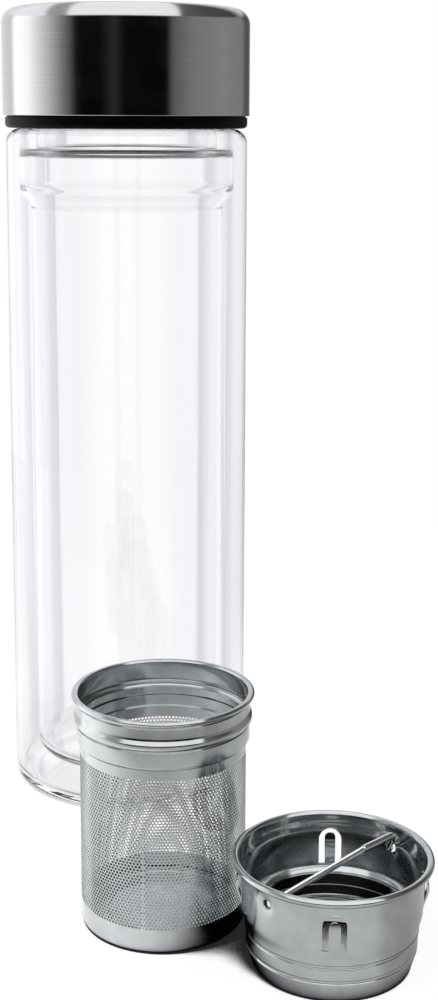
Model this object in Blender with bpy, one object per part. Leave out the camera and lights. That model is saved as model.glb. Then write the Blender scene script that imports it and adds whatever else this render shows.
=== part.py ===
"""Tea infuser flask: a double-walled glass flask under a screw lid, with its infuser
standing beside it as a perforated basket and a collar with a wire bail.
Metres, +Z up, origin at the centre of the flask's base."""

import math

import bmesh
import bpy
from mathutils import Vector

# Clearances
SEAT_GAP = 0.0003
MERGE_DISTANCE = 0.000001

# Facets
FLASK_SIDES = 36
COLLAR_SIDES = 44
ARC_STEP = math.radians(45)
ROLL_STEP = math.radians(60)

# Outer glass
GLASS_RADIUS = 0.0330
GLASS_WALL = 0.0020
GLASS_FLOOR = 0.0030
BASE_ROUND = 0.0035
SHOULDER_HEIGHT = 0.1849
SHOULDER_ROUND = 0.0040
SHOULDER_WIDTH = 0.0080
NECK_WALL = 0.0030
NECK_RADIUS = GLASS_RADIUS - SHOULDER_WIDTH
NECK_BORE_RADIUS = NECK_RADIUS - NECK_WALL
NECK_LENGTH = 0.0200
NECK_LIP_ROUND = 0.0008

# Inner glass
VESSEL_WALL = 0.0018
VESSEL_SPACE = 0.0046
VESSEL_TOP_SPACE = 0.0017
VESSEL_THROAT_WALL = 0.0026
VESSEL_FLOOR_HEIGHT = 0.0090
VESSEL_ROUND = 0.0035
VESSEL_STEP_HEIGHT = 0.1666
VESSEL_STEP_RISE = 0.0010
VESSEL_SHOULDER_DROP = 0.0014

# Lid
LID_OVERHANG = 0.0006
LID_RADIUS = GLASS_RADIUS + LID_OVERHANG
LID_WALL = 0.0008
LID_SHELL_HEIGHT = 0.0285
LID_EDGE_ROUND = 0.0040
BAND_HEIGHT = 0.0028
BAND_ROUND = 0.0012
THREAD_SPACE = 0.0015
LINER_WALL = 0.0020
LINER_SKIRT_HEIGHT = 0.0120
LINER_SKIRT_WALL = 0.0015
LINER_DISC = 0.0018
GASKET_THICKNESS = 0.0016
GASKET_LAP = 0.0005

# Pressed sheet of the infuser
SHEET = 0.0005

# Basket
BASKET_PLACE = Vector((0.00838, -0.08618, 0.0))
BASKET_RADIUS = 0.0195
BASKET_TUBE_HEIGHT = 0.0475
BASKET_CORNER_ROUND = 0.0015
BASKET_FLANGE_WIDTH = 0.0030
BASKET_FLOOR_THICKNESS = 0.0006
BASKET_FLOOR_RISE = 0.0008
BASKET_FLOOR_MARGIN = 0.0040
SLEEVE_LAP = 0.0025
BASKET_HEIGHT = 0.0564
BASKET_ROLL_RADIUS = 0.0008
SLEEVE_BEAD_DROP = 0.0061
SLEEVE_BEAD_HEIGHT = 0.0024
SLEEVE_BEAD_BULGE = 0.0005

# Perforation of the basket
HOLES_AROUND = 22
HOLE_ROWS = 8
HOLE_WIDTH = 0.0032
HOLE_BAND_START = 0.0060
HOLE_BAND_END = 0.0420

# Collar
COLLAR_PLACE = Vector((0.04607, -0.10843, 0.0))
COLLAR_TURN = math.radians(-5.5)
COLLAR_HEIGHT = 0.0256
COLLAR_ROLL_RADIUS = 0.0009
COLLAR_MOUTH_RADIUS = 0.0215
COLLAR_RADIUS = 0.0209
COLLAR_FLARE_HEIGHT = 0.0018
COLLAR_TAPER = 0.0005
COLLAR_CURVE_START = 0.0119
COLLAR_CURVE_ROUND = 0.0010
COLLAR_WAIST_RADIUS = 0.0193
COLLAR_WAIST_LENGTH = 0.0018
PLUG_SHOULDER_HEIGHT = 0.0086
PLUG_BEAD_RADIUS = 0.01945
PLUG_GROOVE_RADIUS = 0.0189
PLUG_BEAD_HEIGHT = 0.0030
PLUG_GROOVE_HEIGHT = 0.0010
PLUG_FOOT_RADIUS = 0.0180
PLUG_MOUTH_RADIUS = 0.0155
PLUG_LAP = 0.0026

# Spring tongues cut in the collar
TONGUE_COUNT = 4
SLOT_OUTER_WIDTH = 0.0053
SLOT_WIDTH = 0.0014
SLOT_FOOT_HEIGHT = 0.0130
SLOT_HEIGHT = 0.0086
TONGUE_BULGE = 0.0011
TONGUE_ROOT_INSET = 0.0001
TONGUE_STATIONS = 8

# Bail
WIRE_RADIUS = 0.00085
PIVOT_HEIGHT = 0.0203
PIVOT_CLEARANCE = 0.0003
PIVOT_TURN = math.radians(45)
BAIL_LEAN = math.radians(22)
BAIL_RISE = 0.0044
BAIL_KNEE_RISE = 0.0041
BAIL_KNEE_REACH = 0.0085
BAIL_WALL_SPACE = 0.0020
BAIL_TIP_REACH = 0.0002
BAIL_BEND = 0.0018
BAIL_FOOT_BEND = 0.0010

# Colours, roughness and metal share of the finishes
CLEAR_GLASS = ((0.93, 0.94, 0.97, 1.0), 0.03, 0.0)
BRUSHED_STEEL = ((0.62, 0.63, 0.64, 1.0), 0.30, 1.0)
PRESSED_STEEL = ((0.66, 0.68, 0.69, 1.0), 0.22, 1.0)
BLACK_PLASTIC = ((0.012, 0.012, 0.013, 1.0), 0.35, 0.0)
CLEAR_SILICONE = ((0.80, 0.82, 0.82, 1.0), 0.50, 0.0)


def clear_scene():
    for item in list(bpy.data.objects):
        bpy.data.objects.remove(item, do_unlink=True)


def finish(name, values):
    """A Principled material from a colour, a roughness and a metal share."""
    colour, roughness, metal = values
    material = bpy.data.materials.new(name)
    material.use_nodes = True
    shader = material.node_tree.nodes["Principled BSDF"]
    shader.inputs["Base Color"].default_value = colour
    shader.inputs["Roughness"].default_value = roughness
    shader.inputs["Metallic"].default_value = metal
    if values is CLEAR_GLASS:
        shader.inputs["Transmission Weight"].default_value = 1.0
        shader.inputs["IOR"].default_value = 1.47
    return material


def axis_empty(name, place, turn=0.0, parent=None):
    empty = bpy.data.objects.new(name, None)
    empty.location = place
    empty.rotation_euler = (0.0, 0.0, turn)
    empty.parent = parent
    bpy.context.scene.collection.objects.link(empty)
    return empty


def object_from(bm, name, material, parent=None):
    """Turn a bmesh into a named, smooth-shaded object."""
    bmesh.ops.remove_doubles(bm, verts=bm.verts, dist=MERGE_DISTANCE)
    bmesh.ops.recalc_face_normals(bm, faces=bm.faces)
    mesh = bpy.data.meshes.new(name)
    bm.to_mesh(mesh)
    bm.free()
    mesh.materials.append(material)
    mesh.shade_smooth()
    mesh.set_sharp_from_angle(angle=math.radians(35))
    item = bpy.data.objects.new(name, mesh)
    item.parent = parent
    bpy.context.scene.collection.objects.link(item)
    return item


def arc(centre, radius, start, end, step=ARC_STEP):
    """Points on an arc in the profile plane, from angle start to angle end."""
    count = max(1, math.ceil(abs(end - start) / step - 0.001))
    angles = [start + (end - start) * k / count for k in range(count + 1)]
    return [Vector((centre[0] + radius * math.cos(a), centre[1] + radius * math.sin(a))) for a in angles]


def rounded(corners, step=ARC_STEP):
    """Open path through corners (r, z, fillet), each fillet an arc within its two sides."""
    path = []
    for index, (r, z, fillet) in enumerate(corners):
        here = Vector((r, z))
        if fillet <= 0.0:
            path.append(here)
            continue
        back = Vector(corners[index - 1][:2]) - here
        ahead = Vector(corners[index + 1][:2]) - here
        half = back.angle(ahead) / 2
        shortest = min(back.length, ahead.length)
        fillet = min(fillet, 0.9 * shortest * math.tan(half))
        reach = fillet / math.tan(half)
        centre = here + (back.normalized() + ahead.normalized()).normalized() * (fillet / math.sin(half))
        first = here + back.normalized() * reach - centre
        last = here + ahead.normalized() * reach - centre
        start = math.atan2(first.y, first.x)
        turn = math.remainder(math.atan2(last.y, last.x) - start, math.tau)
        path += arc(centre, fillet, start, start + turn, step)
    return path


def offset(path, distance):
    """The path moved sideways by a distance, to the right of its direction."""
    moved = []
    for index, point in enumerate(path):
        before = (point - path[index - 1]).normalized() if index else None
        after = (path[index + 1] - point).normalized() if index < len(path) - 1 else None
        before = before or after
        after = after or before
        along = (before + after).normalized()
        side = Vector((along.y, -along.x))
        moved.append(point + side * (distance / max(0.5, along.dot(after))))
    return moved


def revolve(name, loop, material, sides, parent=None):
    """Spin a closed profile loop about the Z axis."""
    bm = bmesh.new()
    verts = [bm.verts.new((point.x, 0.0, point.y)) for point in loop]
    edges = []
    for first, second in zip(verts, verts[1:] + verts[:1]):
        if max(first.co.x, second.co.x) > MERGE_DISTANCE:
            edges.append(bm.edges.new((first, second)))
    bmesh.ops.spin(bm, geom=verts + edges, cent=(0, 0, 0), axis=(0, 0, 1), angle=math.tau, steps=sides)
    return object_from(bm, name, material, parent)


def rolled_rim(wall_radius, top, roll_radius, sheet):
    """The bead of a rim rolled outwards, from the wall's inner side over to its outer side."""
    centre = (wall_radius - sheet + roll_radius, top - roll_radius)
    landing = -math.acos(max(-1.0, (sheet - roll_radius) / roll_radius))
    return arc(centre, roll_radius, math.pi, landing, ROLL_STEP)


def sheet_ring(name, rim, wall, material, sides, parent):
    """A pressed ring: a rim bead, its outer wall path top to bottom, and the inner wall."""
    inner = offset(wall, SHEET)
    loop = rim + wall + inner[::-1]
    return revolve(name, loop, material, sides, parent)


def make_outer_glass(material):
    under_shoulder = SHOULDER_HEIGHT - GLASS_WALL
    neck_top = SHOULDER_HEIGHT + NECK_LENGTH
    inside = GLASS_RADIUS - GLASS_WALL
    outer = rounded([
        (0.0, 0.0, 0.0),
        (GLASS_RADIUS, 0.0, BASE_ROUND),
        (GLASS_RADIUS, SHOULDER_HEIGHT, SHOULDER_ROUND),
        (NECK_RADIUS, SHOULDER_HEIGHT, NECK_LIP_ROUND),
        (NECK_RADIUS, neck_top, NECK_LIP_ROUND),
        (NECK_BORE_RADIUS, neck_top, NECK_LIP_ROUND),
        (NECK_BORE_RADIUS, under_shoulder, 0.0),
        (inside, under_shoulder, max(SHOULDER_ROUND - GLASS_WALL, NECK_LIP_ROUND)),
        (inside, GLASS_FLOOR, max(BASE_ROUND - GLASS_WALL, NECK_LIP_ROUND)),
        (0.0, GLASS_FLOOR, 0.0),
    ])
    return revolve("outer_glass", outer, material, FLASK_SIDES)


def make_inner_glass(material):
    top = SHOULDER_HEIGHT - GLASS_WALL - SEAT_GAP
    shoulder = top - VESSEL_SHOULDER_DROP
    throat = NECK_BORE_RADIUS + VESSEL_THROAT_WALL
    step_top = VESSEL_STEP_HEIGHT + VESSEL_STEP_RISE
    floor = VESSEL_FLOOR_HEIGHT + VESSEL_WALL
    lower_radius = GLASS_RADIUS - GLASS_WALL - VESSEL_SPACE
    upper_radius = GLASS_RADIUS - GLASS_WALL - VESSEL_TOP_SPACE
    inner_round = max(VESSEL_ROUND - VESSEL_WALL, NECK_LIP_ROUND)
    loop = rounded([
        (0.0, VESSEL_FLOOR_HEIGHT, 0.0),
        (lower_radius, VESSEL_FLOOR_HEIGHT, VESSEL_ROUND),
        (lower_radius, VESSEL_STEP_HEIGHT, 0.0),
        (upper_radius, step_top, VESSEL_STEP_RISE),
        (upper_radius, shoulder, VESSEL_ROUND),
        (throat, shoulder, 0.0),
        (throat, top, 0.0),
        (NECK_BORE_RADIUS, top, 0.0),
        (NECK_BORE_RADIUS, shoulder - VESSEL_WALL, 0.0),
        (upper_radius - VESSEL_WALL, shoulder - VESSEL_WALL, inner_round),
        (upper_radius - VESSEL_WALL, step_top + VESSEL_WALL, 0.0),
        (lower_radius - VESSEL_WALL, VESSEL_STEP_HEIGHT + VESSEL_WALL, 0.0),
        (lower_radius - VESSEL_WALL, floor, inner_round),
        (0.0, floor, 0.0),
    ])
    return revolve("inner_glass", loop, material, FLASK_SIDES)


def lid_levels():
    """Heights of the lid's band, shell, gasket and liner disc, seated on the flask."""
    band_bottom = SHOULDER_HEIGHT + SEAT_GAP
    band_top = band_bottom + BAND_HEIGHT
    shell_bottom = band_top + SEAT_GAP
    gasket_bottom = SHOULDER_HEIGHT + NECK_LENGTH + SEAT_GAP
    disc_bottom = gasket_bottom + GASKET_THICKNESS + SEAT_GAP
    return band_bottom, band_top, shell_bottom, gasket_bottom, disc_bottom


def make_lid_shell(material):
    shell_bottom = lid_levels()[2]
    top = shell_bottom + LID_SHELL_HEIGHT
    bore = LID_RADIUS - LID_WALL
    loop = rounded([
        (0.0, top, 0.0),
        (LID_RADIUS, top, LID_EDGE_ROUND),
        (LID_RADIUS, shell_bottom, 0.0),
        (bore, shell_bottom, 0.0),
        (bore, top - LID_WALL, max(LID_EDGE_ROUND - LID_WALL, LID_WALL)),
        (0.0, top - LID_WALL, 0.0),
    ])
    return revolve("lid_shell", loop, material, FLASK_SIDES)


def make_lid_liner(material):
    band_bottom, band_top, _, _, disc_bottom = lid_levels()
    bore = NECK_RADIUS + THREAD_SPACE
    sleeve = bore + LINER_WALL
    skirt = LID_RADIUS - LID_WALL - SEAT_GAP
    skirt_top = band_top + LINER_SKIRT_HEIGHT
    loop = rounded([
        (bore, band_bottom, 0.0),
        (GLASS_RADIUS, band_bottom, BAND_ROUND),
        (GLASS_RADIUS, band_top, 0.0),
        (skirt, band_top, 0.0),
        (skirt, skirt_top, 0.0),
        (skirt - LINER_SKIRT_WALL, skirt_top, 0.0),
        (skirt - LINER_SKIRT_WALL, band_top, 0.0),
        (sleeve, band_top, 0.0),
        (sleeve, disc_bottom + LINER_DISC, 0.0),
        (0.0, disc_bottom + LINER_DISC, 0.0),
        (0.0, disc_bottom, 0.0),
        (bore, disc_bottom, 0.0),
    ])
    return revolve("lid_liner", loop, material, FLASK_SIDES)


def make_lid_gasket(material):
    bottom = lid_levels()[3]
    inner = NECK_BORE_RADIUS - GASKET_LAP
    outer = NECK_RADIUS + THREAD_SPACE - SEAT_GAP
    loop = rounded([
        (inner, bottom, 0.0),
        (outer, bottom, 0.0),
        (outer, bottom + GASKET_THICKNESS, 0.0),
        (inner, bottom + GASKET_THICKNESS, 0.0),
    ])
    return revolve("lid_gasket", loop, material, FLASK_SIDES)


def ring_of(bm, radius, z, angles):
    return [bm.verts.new((radius * math.cos(a), radius * math.sin(a), z)) for a in angles]


def bridge(bm, lower, upper):
    """Quads between two rings with equal counts."""
    count = len(lower)
    for k in range(count):
        after = (k + 1) % count
        bm.faces.new((lower[k], lower[after], upper[after], upper[k]))


def hole_corners(bm, radius, z, angle, half_angle, half_height):
    """The left, bottom, right and top corners of one hole on a skin."""
    places = ((-half_angle, 0.0), (0.0, -half_height), (half_angle, 0.0), (0.0, half_height))
    corners = []
    for turn, rise in places:
        a = angle + turn
        corners.append(bm.verts.new((radius * math.cos(a), radius * math.sin(a), z + rise)))
    return corners


def perforated_skin(bm, radius, start, end, angles):
    """One skin of the perforated band, between two rings, and the corners of its holes."""
    pitch = math.tau / HOLES_AROUND
    row_step = (end - start) / (HOLE_ROWS + 0.5)
    half_angle = HOLE_WIDTH / BASKET_RADIUS / 2
    half_height = min(HOLE_WIDTH / 2, 0.45 * row_step)
    lower = ring_of(bm, radius, start, angles)
    upper = ring_of(bm, radius, end, angles)
    rows = []
    for row in range(HOLE_ROWS):
        z = start + row_step * (row + 0.75)
        shift = 0.5 * (row % 2)
        rows.append([
            hole_corners(bm, radius, z, (k + shift) * pitch, half_angle, half_height)
            for k in range(HOLES_AROUND)
        ])
    for row in range(HOLE_ROWS):
        holes = rows[row]
        shift = row % 2
        for k in range(HOLES_AROUND):
            left, bottom, right, top = holes[k]
            next_left, next_bottom, _, next_top = holes[(k + 1) % HOLES_AROUND]
            between = 2 * k + shift + 1
            if row == 0:
                here = lower[(between - 1) % len(lower)]
                middle = lower[between % len(lower)]
                following = lower[(between + 1) % len(lower)]
                bm.faces.new((here, middle, right, bottom))
                bm.faces.new((middle, following, next_bottom, next_left))
                below = middle
            else:
                below = rows[row - 1][(k + shift) % HOLES_AROUND][3]
            if row == HOLE_ROWS - 1:
                here = upper[(between - 1) % len(upper)]
                middle = upper[between % len(upper)]
                following = upper[(between + 1) % len(upper)]
                bm.faces.new((top, right, middle, here))
                bm.faces.new((next_top, following, middle, next_left))
                above = middle
            else:
                beyond = rows[row + 1][(k + shift) % HOLES_AROUND]
                above = beyond[1]
                bm.faces.new((top, right, above, beyond[0]))
                bm.faces.new((next_top, beyond[2], above, next_left))
            bm.faces.new((below, next_left, above, right))
    return lower, upper, rows


def make_basket_tube(material, parent):
    """The rolled, perforated tube, its bottom edge turned in as a flange."""
    count = 2 * HOLES_AROUND
    angles = [math.tau * k / count for k in range(count)]
    bore = BASKET_RADIUS - SHEET
    flange = BASKET_RADIUS - BASKET_FLANGE_WIDTH
    bm = bmesh.new()
    outer_low, outer_high, outer_rows = perforated_skin(
        bm, BASKET_RADIUS, HOLE_BAND_START, HOLE_BAND_END, angles)
    inner_low, inner_high, inner_rows = perforated_skin(
        bm, bore, HOLE_BAND_START, HOLE_BAND_END, angles)
    for outer_row, inner_row in zip(outer_rows, inner_rows):
        for outer_hole, inner_hole in zip(outer_row, inner_row):
            bridge(bm, outer_hole, inner_hole)
    foot = rounded([
        (BASKET_RADIUS, HOLE_BAND_START, 0.0),
        (BASKET_RADIUS, 0.0, BASKET_CORNER_ROUND),
        (flange, 0.0, 0.0),
        (flange, SHEET, 0.0),
        (bore, SHEET, max(BASKET_CORNER_ROUND - SHEET, SHEET)),
        (bore, HOLE_BAND_START, 0.0),
    ])
    rings = [outer_low]
    rings += [ring_of(bm, point.x, point.y, angles) for point in foot[1:-1]]
    rings.append(inner_low)
    for first, second in zip(rings, rings[1:]):
        bridge(bm, first, second)
    outer_top = ring_of(bm, BASKET_RADIUS, BASKET_TUBE_HEIGHT, angles)
    inner_top = ring_of(bm, bore, BASKET_TUBE_HEIGHT, angles)
    bridge(bm, outer_high, outer_top)
    bridge(bm, outer_top, inner_top)
    bridge(bm, inner_top, inner_high)
    return object_from(bm, "basket_tube", material, parent)


def make_basket_floor(material, parent):
    """The pressed floor disc, its rim on the tube's flange and its middle raised."""
    rim = BASKET_RADIUS - SHEET - SEAT_GAP
    low = SHEET + SEAT_GAP
    high = low + BASKET_FLOOR_RISE
    crown = BASKET_RADIUS - BASKET_FLANGE_WIDTH - BASKET_FLOOR_MARGIN
    corner = max(BASKET_CORNER_ROUND - SHEET, SHEET)
    loop = rounded([
        (0.0, high, 0.0),
        (crown, high, 0.0),
        (crown + BASKET_FLOOR_RISE, low, 0.0),
        (rim - corner, low, 0.0),
        (rim, low + corner, 0.0),
        (rim, low + corner + BASKET_FLOOR_THICKNESS, 0.0),
        (rim - corner, low + BASKET_FLOOR_THICKNESS, 0.0),
        (crown + BASKET_FLOOR_RISE, low + BASKET_FLOOR_THICKNESS, 0.0),
        (crown, high + BASKET_FLOOR_THICKNESS, 0.0),
        (0.0, high + BASKET_FLOOR_THICKNESS, 0.0),
    ])
    return revolve("basket_floor", loop, material, FLASK_SIDES, parent)


def make_basket_sleeve(material, parent):
    """The sleeve over the tube's top, with a snap bead and a rolled rim."""
    radius = BASKET_RADIUS + SEAT_GAP + SHEET
    bead = BASKET_HEIGHT - SLEEVE_BEAD_DROP
    half = SLEEVE_BEAD_HEIGHT / 2
    rim = rolled_rim(radius, BASKET_HEIGHT, BASKET_ROLL_RADIUS, SHEET)
    wall = rounded([
        (radius, rim[-1].y - SHEET / 2, 0.0),
        (radius, bead + half, 0.0),
        (radius + SLEEVE_BEAD_BULGE, bead + half / 3, 0.0),
        (radius + SLEEVE_BEAD_BULGE, bead - half / 3, 0.0),
        (radius, bead - half, 0.0),
        (radius, BASKET_TUBE_HEIGHT - SLEEVE_LAP, 0.0),
    ])
    return sheet_ring("basket_sleeve", rim, wall, material, FLASK_SIDES, parent)


def collar_wall():
    """Outer path of the collar's wall below its rim, top to bottom."""
    flare_foot = COLLAR_HEIGHT - 2 * COLLAR_ROLL_RADIUS - COLLAR_FLARE_HEIGHT
    waist_top = PLUG_SHOULDER_HEIGHT + SEAT_GAP + COLLAR_WAIST_LENGTH
    rim = rolled_rim(COLLAR_MOUTH_RADIUS, COLLAR_HEIGHT, COLLAR_ROLL_RADIUS, SHEET)
    wall = rounded([
        (COLLAR_MOUTH_RADIUS, rim[-1].y - SHEET / 2, 0.0),
        (COLLAR_RADIUS, flare_foot, 0.0),
        (COLLAR_RADIUS - COLLAR_TAPER, COLLAR_CURVE_START, COLLAR_CURVE_ROUND),
        (COLLAR_WAIST_RADIUS, waist_top, COLLAR_CURVE_ROUND),
        (COLLAR_WAIST_RADIUS, PLUG_SHOULDER_HEIGHT + SEAT_GAP, 0.0),
    ])
    return rim, wall


def slot_outline():
    """Outline (y, z) of the arched window that holds one tongue and its slot."""
    half = SLOT_OUTER_WIDTH / 2
    spring_line = SLOT_FOOT_HEIGHT + SLOT_HEIGHT - half
    arch = arc((0.0, spring_line), half, 0.0, math.pi, math.radians(30))
    return [Vector((-half, SLOT_FOOT_HEIGHT)), Vector((half, SLOT_FOOT_HEIGHT))] + arch


def add_prism(bm, outline, near, far, turn):
    """A closed prism of a (y, z) outline, running outwards in x and turned about Z."""
    count = len(outline)
    ends = []
    for x in (near, far):
        ends.append([
            bm.verts.new((
                x * math.cos(turn) - point.x * math.sin(turn),
                x * math.sin(turn) + point.x * math.cos(turn),
                point.y,
            ))
            for point in outline
        ])
    bm.faces.new(ends[0])
    bm.faces.new(ends[1])
    for k in range(count):
        after = (k + 1) % count
        bm.faces.new((ends[0][k], ends[0][after], ends[1][after], ends[1][k]))


def make_collar_cutter(material, parent):
    """The windows of the tongues and the two pivot holes."""
    bm = bmesh.new()
    for k in range(TONGUE_COUNT):
        turn = math.tau * k / TONGUE_COUNT
        add_prism(bm, slot_outline(), COLLAR_WAIST_RADIUS - SLOT_OUTER_WIDTH,
                  COLLAR_RADIUS + SLOT_OUTER_WIDTH, turn)
    hole = WIRE_RADIUS + PIVOT_CLEARANCE
    bore = arc((0.0, PIVOT_HEIGHT), hole, 0.0, math.tau, math.radians(30))[:-1]
    for turn in (PIVOT_TURN, PIVOT_TURN + math.pi):
        add_prism(bm, bore, COLLAR_WAIST_RADIUS - SLOT_OUTER_WIDTH,
                  COLLAR_RADIUS + SLOT_OUTER_WIDTH, turn)
    return hidden_tool(object_from(bm, "collar_cutter", material, parent))


def wall_radius_at(z):
    """Outer radius of the collar's tapered wall at a height."""
    top = COLLAR_HEIGHT - 2 * COLLAR_ROLL_RADIUS - COLLAR_FLARE_HEIGHT
    share = (top - z) / (top - COLLAR_CURVE_START)
    return COLLAR_RADIUS - COLLAR_TAPER * share


def make_tongues(material, parent):
    """The four tongues, rooted in the wall below their windows and bulging outwards."""
    width = SLOT_OUTER_WIDTH - 2 * SLOT_WIDTH
    tip = SLOT_FOOT_HEIGHT + SLOT_HEIGHT - SLOT_WIDTH
    root = SLOT_FOOT_HEIGHT - SHEET
    round_start = tip - width / 2
    stations = []
    for k in range(TONGUE_STATIONS + 1):
        share = k / TONGUE_STATIONS
        z = root + (tip - root) * share
        lift = TONGUE_BULGE * math.sin(share * math.pi * 0.7) ** 2
        past = max(0.0, z - round_start)
        half = math.sqrt(max((width / 2) ** 2 - past ** 2, (width / 8) ** 2))
        outer = wall_radius_at(z) + lift - TONGUE_ROOT_INSET
        inner = wall_radius_at(z) + lift - SHEET + TONGUE_ROOT_INSET
        stations.append([(inner, -half, z), (outer, -half, z), (outer, half, z), (inner, half, z)])
    bm = bmesh.new()
    for k in range(TONGUE_COUNT):
        turn = math.tau * k / TONGUE_COUNT
        rings = []
        for station in stations:
            rings.append([
                bm.verts.new((x * math.cos(turn) - y * math.sin(turn),
                              x * math.sin(turn) + y * math.cos(turn), z))
                for x, y, z in station
            ])
        for lower, upper in zip(rings, rings[1:]):
            bridge(bm, lower, upper)
        bm.faces.new(rings[0])
        bm.faces.new(rings[-1])
    return hidden_tool(object_from(bm, "collar_tongues", material, parent))


def hidden_tool(item):
    item.hide_render = True
    item.display_type = "WIRE"
    return item


def make_collar_body(material, parent):
    rim, wall = collar_wall()
    body = sheet_ring("collar_body", rim, wall, material, COLLAR_SIDES, parent)
    cut = body.modifiers.new("windows", "BOOLEAN")
    cut.operation = "DIFFERENCE"
    cut.object = make_collar_cutter(material, parent)
    join = body.modifiers.new("tongues", "BOOLEAN")
    join.operation = "UNION"
    join.object = make_tongues(material, parent)
    return body


def make_collar_plug(material, parent):
    """The lower ring that snaps into the basket's sleeve, with two beads and a turned-in foot."""
    throat = COLLAR_WAIST_RADIUS - SHEET - SEAT_GAP
    bead_foot = PLUG_SHOULDER_HEIGHT - PLUG_BEAD_HEIGHT
    groove_foot = bead_foot - PLUG_GROOVE_HEIGHT
    outer = rounded([
        (throat, PLUG_SHOULDER_HEIGHT + PLUG_LAP, 0.0),
        (throat, PLUG_SHOULDER_HEIGHT, 0.0),
        (PLUG_BEAD_RADIUS, PLUG_SHOULDER_HEIGHT - SHEET / 2, 0.0),
        (PLUG_BEAD_RADIUS, bead_foot, 0.0),
        (PLUG_GROOVE_RADIUS, bead_foot - PLUG_GROOVE_HEIGHT / 2, 0.0),
        (PLUG_BEAD_RADIUS, groove_foot, 0.0),
        (PLUG_FOOT_RADIUS, 0.0, SHEET),
        (PLUG_MOUTH_RADIUS, 0.0, 0.0),
    ])
    return revolve("collar_plug", outer + offset(outer, SHEET)[::-1], material, FLASK_SIDES, parent)


def make_bail(material, parent):
    """The wire bail, in the plane of its pivot axis (x) and its rise (y)."""
    wall_inside = wall_radius_at(PIVOT_HEIGHT) - SHEET
    tip = wall_radius_at(PIVOT_HEIGHT) + BAIL_TIP_REACH
    leg = wall_inside - BAIL_WALL_SPACE
    path = rounded([
        (-tip, 0.0, 0.0),
        (-leg, 0.0, BAIL_FOOT_BEND),
        (BAIL_KNEE_REACH, BAIL_KNEE_RISE, BAIL_BEND),
        (leg, BAIL_RISE, BAIL_BEND),
        (leg, 0.0, BAIL_FOOT_BEND),
        (tip, 0.0, 0.0),
    ], math.radians(25))
    curve = bpy.data.curves.new("bail_wire", "CURVE")
    curve.dimensions = "3D"
    curve.bevel_depth = WIRE_RADIUS
    curve.bevel_resolution = 2
    curve.use_fill_caps = True
    spline = curve.splines.new("POLY")
    spline.points.add(len(path) - 1)
    for target, point in zip(spline.points, path):
        target.co = (point.x, 0.0, point.y, 1.0)
    curve.materials.append(material)
    bail = bpy.data.objects.new("bail_wire", curve)
    bail.rotation_euler = (BAIL_LEAN, 0.0, 0.0)
    bail.parent = parent
    bpy.context.scene.collection.objects.link(bail)
    return bail


def main():
    clear_scene()
    glass = finish("clear_glass", CLEAR_GLASS)
    brushed = finish("brushed_steel", BRUSHED_STEEL)
    pressed = finish("pressed_steel", PRESSED_STEEL)
    plastic = finish("black_plastic", BLACK_PLASTIC)
    silicone = finish("clear_silicone", CLEAR_SILICONE)

    make_outer_glass(glass)
    make_inner_glass(glass)
    make_lid_shell(brushed)
    make_lid_liner(plastic)
    make_lid_gasket(silicone)

    basket_axis = axis_empty("basket_axis", BASKET_PLACE)
    make_basket_tube(pressed, basket_axis)
    make_basket_floor(pressed, basket_axis)
    make_basket_sleeve(pressed, basket_axis)

    collar_axis = axis_empty("collar_axis", COLLAR_PLACE, COLLAR_TURN)
    make_collar_body(pressed, collar_axis)
    make_collar_plug(pressed, collar_axis)
    bail_axis = axis_empty("bail_axis", (0.0, 0.0, PIVOT_HEIGHT), PIVOT_TURN, collar_axis)
    make_bail(pressed, bail_axis)


main()
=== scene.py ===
"""Looks of the tea infuser flask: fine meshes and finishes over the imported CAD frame,
with the studio and the camera of the photograph. Metres, +Z up."""

import math

import bmesh
import bpy
from mathutils import Euler, Matrix, Vector


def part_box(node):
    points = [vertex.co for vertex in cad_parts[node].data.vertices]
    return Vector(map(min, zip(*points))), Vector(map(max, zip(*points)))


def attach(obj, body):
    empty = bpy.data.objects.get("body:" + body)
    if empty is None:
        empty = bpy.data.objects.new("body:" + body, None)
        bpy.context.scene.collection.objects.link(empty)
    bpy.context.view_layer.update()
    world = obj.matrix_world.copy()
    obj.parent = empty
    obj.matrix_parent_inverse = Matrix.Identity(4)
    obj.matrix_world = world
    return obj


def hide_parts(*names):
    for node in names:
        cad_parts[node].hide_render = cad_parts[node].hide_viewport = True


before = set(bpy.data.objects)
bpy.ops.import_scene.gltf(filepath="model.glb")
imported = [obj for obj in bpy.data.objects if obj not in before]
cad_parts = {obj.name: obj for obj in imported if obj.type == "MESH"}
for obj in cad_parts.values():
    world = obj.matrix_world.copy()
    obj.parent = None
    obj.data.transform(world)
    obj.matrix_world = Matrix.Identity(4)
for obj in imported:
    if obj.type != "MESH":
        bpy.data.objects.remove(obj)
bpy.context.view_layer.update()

# Facets, and limits of the paths' corners
SIDES = 192
ARC_STEP = math.radians(9)
SHARP_ANGLE = math.radians(32)
ON_AXIS = 1e-7
STEP_TOLERANCE = 0.001
FILLET_SHARE = 0.9
MITRE_LIMIT = 0.5

# Places and levels from the frame
GLASS_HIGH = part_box("outer_glass")[1]
VESSEL_LOW, VESSEL_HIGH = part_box("inner_glass")
SHELL_LOW, SHELL_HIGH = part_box("lid_shell")
LINER_LOW, LINER_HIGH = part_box("lid_liner")
GASKET_LOW, GASKET_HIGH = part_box("lid_gasket")
TUBE_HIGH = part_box("basket_tube")[1]
DISC_LOW, DISC_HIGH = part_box("basket_floor")
SLEEVE_LOW, SLEEVE_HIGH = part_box("basket_sleeve")
BODY_LOW, BODY_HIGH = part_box("collar_body")
PLUG_LOW, PLUG_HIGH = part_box("collar_plug")

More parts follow.
